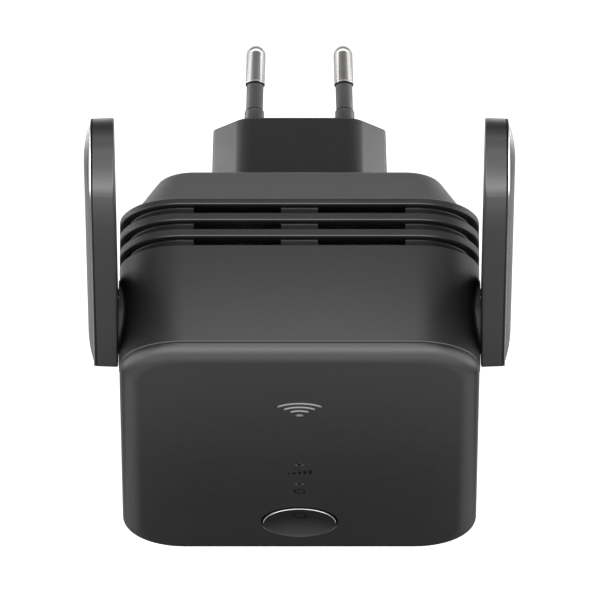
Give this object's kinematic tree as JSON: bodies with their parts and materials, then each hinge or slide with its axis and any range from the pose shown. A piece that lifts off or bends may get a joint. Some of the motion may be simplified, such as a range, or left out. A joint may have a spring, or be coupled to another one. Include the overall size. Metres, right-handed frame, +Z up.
{
  "type": "wifi range extender",
  "caption": "Plug-in wifi range extender: tall rounded case on its own mains plug, with flat hinged aerials, cooling grooves, status lights, push button and network socket.",
  "frame": {"origin": "centre of the plug's engagement face, midway between the two pins", "axes": "+Y out of the back along the pins into the wall socket, +Z up, +X to the right of a person facing the front panel"},
  "size_m": [0.086, 0.0822, 0.1784],
  "materials": {
    "front_plastic": "fine satin, moulded charcoal black",
    "case_plastic": "fine matte texture, moulded charcoal black",
    "rear_plastic": "fine matte texture, moulded charcoal black",
    "plug_plastic": "matte black, moulded",
    "emblem_ink": "gloss black inlay",
    "pin_metal": "nickel plated, polished",
    "pin_sleeve": "satin dark grey insulation",
    "contact_brass": "stamped brass",
    "button_plastic": "satin black, slightly dished",
    "switch_plastic": "black switch body",
    "plunger_plastic": "natural nylon",
    "light_pipe": "clear polycarbonate light pipe, unlit",
    "led_ceramic": "white LED package",
    "board_green": "green solder mask on glass epoxy",
    "board_tan": "bare tan phenolic board",
    "screw_steel": "zinc plated steel",
    "shield_tin": "tinned steel shield",
    "chip_epoxy": "black moulding compound",
    "thermal_rubber": "soft blue-grey gap pad",
    "spreader_aluminium": "plain aluminium sheet",
    "jack_plastic": "black glass-filled nylon",
    "jack_gold": "gold plated spring wire",
    "header_plastic": "black board connector",
    "transformer_ferrite": "ferrite core with taped winding",
    "capacitor_can": "sleeved aluminium can",
    "fuse_ceramic": "ceramic fuse body",
    "choke_copper": "enamelled copper winding",
    "insulator_film": "amber insulating film",
    "arm_plastic": "fine matte texture, moulded charcoal black",
    "arm_cover_plastic": "satin charcoal black cover",
    "coax_jacket": "thin coax jacket",
    "hub_nylon": "black acetal hub",
    "washer_nylon": "dark nylon friction washer"
  },
  "bodies": {
    "case": {"front_cover": "front_plastic", "main_housing": "case_plastic", "rear_cover": "rear_plastic", "plug_block": "plug_plastic", "front_emblem": "emblem_ink", "plug_pin_left": "pin_metal", "pin_sleeve_left": "pin_sleeve", "plug_pin_right": "pin_metal", "pin_sleeve_right": "pin_sleeve", "line_contact": "contact_brass", "neutral_contact": "contact_brass", "wps_switch": "switch_plastic", "signal_light_pipe": "light_pipe", "system_light_pipe": "light_pipe", "signal_led": "led_ceramic", "system_led": "led_ceramic", "main_board": "board_green", "power_board": "board_tan", "main_board_screws": "screw_steel", "power_board_screws": "screw_steel", "rf_shield": "shield_tin", "wifi_chip": "chip_epoxy", "flash_chip": "chip_epoxy", "lan_transformer": "chip_epoxy", "thermal_pad": "thermal_rubber", "heat_spreader": "spreader_aluminium", "rj45_jack": "jack_plastic", "rj45_contacts": "jack_gold", "reset_switch": "switch_plastic", "dc_header": "header_plastic", "power_transformer": "transformer_ferrite", "bulk_capacitor": "capacitor_can", "output_capacitor": "capacitor_can", "input_fuse": "fuse_ceramic", "bridge_rectifier": "chip_epoxy", "line_filter_choke": "choke_copper", "insulator_sheet": "insulator_film", "left_case_coax": "coax_jacket", "left_coax_plug": "contact_brass", "left_hinge_washer": "washer_nylon", "right_case_coax": "coax_jacket", "right_coax_plug": "contact_brass", "right_hinge_washer": "washer_nylon"},
    "left_antenna": {"left_antenna_base": "arm_plastic", "left_antenna_cover": "arm_cover_plastic", "left_antenna_element": "board_green", "left_antenna_coax": "coax_jacket", "left_hinge_hub": "hub_nylon", "left_hinge_clip": "screw_steel"},
    "right_antenna": {"right_antenna_base": "arm_plastic", "right_antenna_cover": "arm_cover_plastic", "right_antenna_element": "board_green", "right_antenna_coax": "coax_jacket", "right_hinge_hub": "hub_nylon", "right_hinge_clip": "screw_steel"},
    "wps_button": {"wps_button": "button_plastic"},
    "wps_plunger": {"wps_switch_plunger": "plunger_plastic"},
    "reset_plunger": {"reset_plunger": "plunger_plastic"}
  },
  "joints": [
    {"name": "left_antenna_hinge", "type": "hinge", "parent": "case", "child": "left_antenna", "pos_m": [-0.0369, -0.0493, 0.0129], "axis": [1, 0, 0], "range_deg": [0, 180]},
    {"name": "right_antenna_hinge", "type": "hinge", "parent": "case", "child": "right_antenna", "pos_m": [0.0369, -0.0493, 0.0129], "axis": [1, 0, 0], "range_deg": [0, 180]},
    {"name": "wps_button_press", "type": "slide", "parent": "case", "child": "wps_button", "axis": [0, 1, 0], "range_m": [0, 0.0004], "stiffness_N_per_m": 4000},
    {"name": "wps_plunger_slide", "type": "slide", "parent": "case", "child": "wps_plunger", "axis": [0, 1, 0], "range_m": [0, 0.0004]},
    {"name": "reset_plunger_press", "type": "slide", "parent": "case", "child": "reset_plunger", "axis": [0, 0, 1], "range_m": [0, 0.0003], "stiffness_N_per_m": 3000}
  ],
  "couplings": [
    {"joint": "wps_plunger_slide", "follows": "wps_button_press", "ratio": 1}
  ]
}
